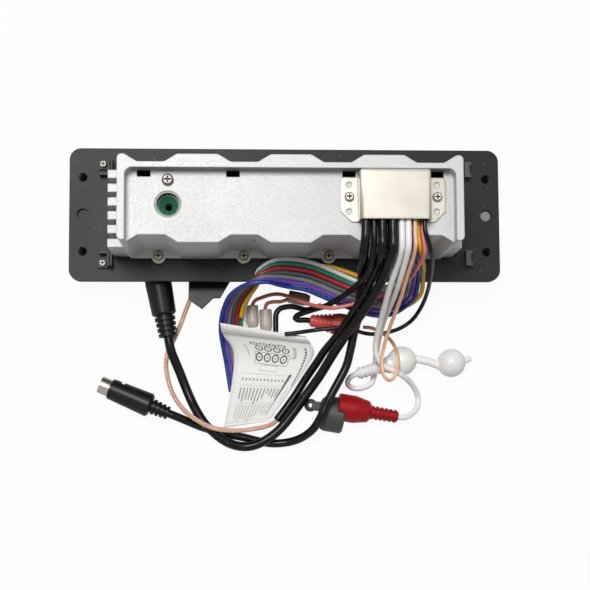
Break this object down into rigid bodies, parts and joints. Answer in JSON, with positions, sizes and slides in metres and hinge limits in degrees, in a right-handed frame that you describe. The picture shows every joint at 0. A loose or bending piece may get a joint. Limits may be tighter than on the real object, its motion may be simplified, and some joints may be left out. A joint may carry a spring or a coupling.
{
  "type": "marine stereo",
  "caption": "Flush-mount marine stereo lying face down: black flange, finned silver casting, nickel harness cover, and a spread wiring harness with round and phono plugs.",
  "frame": {"origin": "middle of the front border's face, on the table that the unit lies face down on", "axes": "+X along the flange to the harness side, +Y up the face, +Z from the front to the rear of the unit"},
  "size_m": [0.226, 0.1589, 0.0741],
  "materials": {
    "black_panel": "satin, lightly dusty",
    "clip_plastic": "satin",
    "bright_screw": "bright zinc",
    "bronze_screw": "bronze tinted",
    "window": "clear tinted",
    "display": "dark glass",
    "board": "solder mask",
    "silicone": "matt",
    "key": "satin",
    "knob": "satin",
    "plain_steel": "satin",
    "brass": "satin",
    "encoder": "matt",
    "casting": "fine cast grain",
    "seal": "matt",
    "chip": "matt",
    "capacitor": "gloss sleeve",
    "ribbon": "matt",
    "aerial_green": "satin",
    "nickel_sheet": "bright nickel plate",
    "black_moulding": "satin",
    "black_cable": "satin",
    "plug_metal": "nickel plate",
    "braid": "braided copper under clear sleeve",
    "tape": "semi gloss",
    "white_lead": "satin",
    "white_plug": "satin",
    "white_rubber": "soft translucent",
    "red_plug": "satin",
    "faded_red_plug": "satin",
    "grey_rubber": "matt",
    "copper": "stranded copper",
    "speaker_wire": "satin, several colours",
    "supply_wire": "satin, several colours",
    "pink_wire": "satin",
    "grey_plug": "satin",
    "paper": "coated paper"
  },
  "bodies": {
    "housing": {"mounting_flange": "black_panel", "fascia": "black_panel", "left_clips": "clip_plastic", "right_hooks": "clip_plastic", "fascia_screws": "bright_screw", "front_board_screws": "bright_screw", "panel_screw": "bright_screw", "cover_screws": "bright_screw", "board_screws": "bright_screw", "clamp_screws": "bright_screw", "ear_screws": "bronze_screw", "display_window": "window", "display_module": "display", "front_board": "board", "main_board": "board", "keypad_mat": "silicone", "chip_clamp": "plain_steel", "tuner_can": "plain_steel", "aerial_shell": "plain_steel", "aerial_contact": "brass", "encoder_body": "encoder", "casting": "casting", "casting_seal": "seal", "harness_grommet": "seal", "amplifier_chip": "chip", "capacitors": "capacitor", "ribbon_cable": "ribbon", "aerial_insert": "aerial_green", "harness_cover": "nickel_sheet", "remote_socket": "black_moulding", "remote_plug": "black_moulding", "socket_cable": "black_cable", "plug_cable": "black_cable", "coax_jacket": "black_cable", "black_lead": "black_cable", "ground_wire": "black_cable", "plug_shell": "plug_metal", "coax_braid": "braid", "tape_flag": "tape", "white_leads": "white_lead", "white_phono": "white_plug", "white_cap": "white_rubber", "red_phono": "red_plug", "upper_phono": "faded_red_plug", "grey_cap": "grey_rubber", "copper_wire": "copper", "speaker_wires": "speaker_wire", "supply_wires": "supply_wire", "pink_leads": "pink_wire", "grey_phonos": "grey_plug", "paper_label": "paper"},
    "key_power": {"key_power": "key"},
    "key_mute": {"key_mute": "key"},
    "key_source": {"key_source": "key"},
    "key_back": {"key_back": "key"},
    "key_play": {"key_play": "key"},
    "key_next": {"key_next": "key"},
    "encoder_push": {"encoder_plunger": "brass"},
    "volume": {"volume_knob": "knob", "encoder_shaft": "plain_steel"}
  },
  "joints": [
    {"name": "key_power_press", "type": "slide", "parent": "housing", "child": "key_power", "axis": [0, 0, 1], "range_m": [0, 0.0006], "stiffness_N_per_m": 400},
    {"name": "key_mute_press", "type": "slide", "parent": "housing", "child": "key_mute", "axis": [0, 0, 1], "range_m": [0, 0.0006], "stiffness_N_per_m": 400},
    {"name": "key_source_press", "type": "slide", "parent": "housing", "child": "key_source", "axis": [0, 0, 1], "range_m": [0, 0.0006], "stiffness_N_per_m": 400},
    {"name": "key_back_press", "type": "slide", "parent": "housing", "child": "key_back", "axis": [0, 0, 1], "range_m": [0, 0.0006], "stiffness_N_per_m": 400},
    {"name": "key_play_press", "type": "slide", "parent": "housing", "child": "key_play", "axis": [0, 0, 1], "range_m": [0, 0.0006], "stiffness_N_per_m": 400},
    {"name": "key_next_press", "type": "slide", "parent": "housing", "child": "key_next", "axis": [0, 0, 1], "range_m": [0, 0.0006], "stiffness_N_per_m": 400},
    {"name": "volume_push", "type": "slide", "parent": "housing", "child": "encoder_push", "axis": [0, 0, 1], "range_m": [0, 0.0005], "stiffness_N_per_m": 800},
    {"name": "volume_turn", "type": "hinge", "parent": "encoder_push", "child": "volume", "pos_m": [0.07, 0, 0.01], "axis": [0, 0, 1], "continuous": true}
  ]
}
